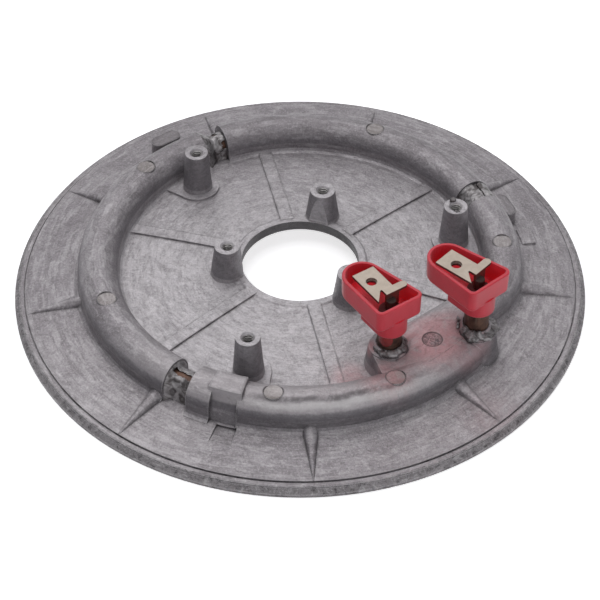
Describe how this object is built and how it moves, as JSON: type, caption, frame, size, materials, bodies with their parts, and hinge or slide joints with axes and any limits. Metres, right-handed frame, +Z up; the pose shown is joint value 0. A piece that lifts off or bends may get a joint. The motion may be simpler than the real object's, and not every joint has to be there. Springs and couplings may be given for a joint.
{
  "type": "multicooker heating plate",
  "caption": "Domed cast aluminium heating plate, underside up, with a cast-in ring heater, tapped bosses and two red-capped terminals.",
  "frame": {"origin": "on the plate's axis, in the plane of the rim's foot", "axes": "+Z up along the plate's axis, out of the side that carries the bosses and terminals; -Y towards the front, with the terminals at the front right; +X right"},
  "size_m": [0.18, 0.18, 0.037],
  "materials": {
    "cast_aluminium": "as cast, dull, with flow marks",
    "sheath_steel": "heat-browned steel tube",
    "magnesia": "compacted powder",
    "resistance_wire": "oxidised",
    "pin_steel": "satin",
    "seal": "matt, brownish red",
    "red_rubber": "satin silicone",
    "tab_nickel": "nickelled, dull"
  },
  "bodies": {
    "root": {"plate_casting": "cast_aluminium", "heater_sheath": "sheath_steel", "magnesia_fill": "magnesia", "resistance_coil": "resistance_wire", "terminal_pin_left": "pin_steel", "terminal_pin_right": "pin_steel", "end_seal_left": "seal", "end_seal_right": "seal", "insulator_cap_left": "red_rubber", "insulator_cap_right": "red_rubber", "terminal_tab_left": "tab_nickel", "terminal_tab_right": "tab_nickel"}
  },
  "joints": []
}
